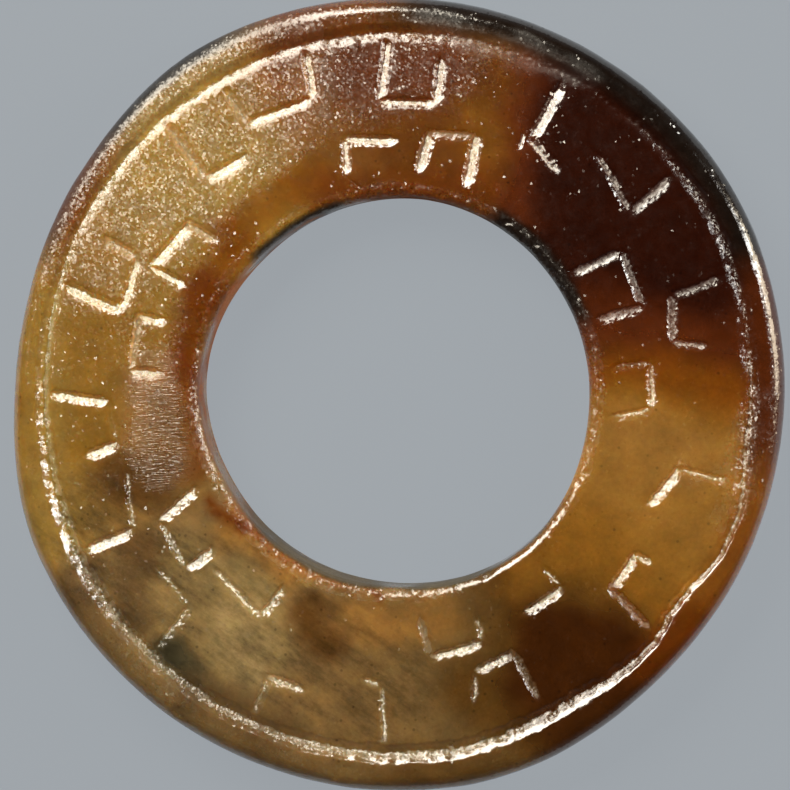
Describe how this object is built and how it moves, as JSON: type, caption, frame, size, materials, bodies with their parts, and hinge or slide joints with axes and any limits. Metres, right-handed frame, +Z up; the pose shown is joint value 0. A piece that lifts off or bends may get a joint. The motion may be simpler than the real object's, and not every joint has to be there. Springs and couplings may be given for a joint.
{
  "type": "jade ring",
  "caption": "Flat round jade ring with a wide bore and a narrow rim, carved on one face with two rows of hooked strokes.",
  "frame": {"origin": "centre of the ring's outline, at its flat back, which it lies on", "axes": "+Z up, out of the carved face, along the bore; +X to the right and +Y to the top of the picture"},
  "size_m": [0.0566, 0.058, 0.005],
  "materials": {
    "jade": "polished brown and honey jade with dark and russet clouds, slightly translucent, with fine pits in the polish"
  },
  "bodies": {
    "root": {"jade_ring": "jade"}
  },
  "joints": []
}
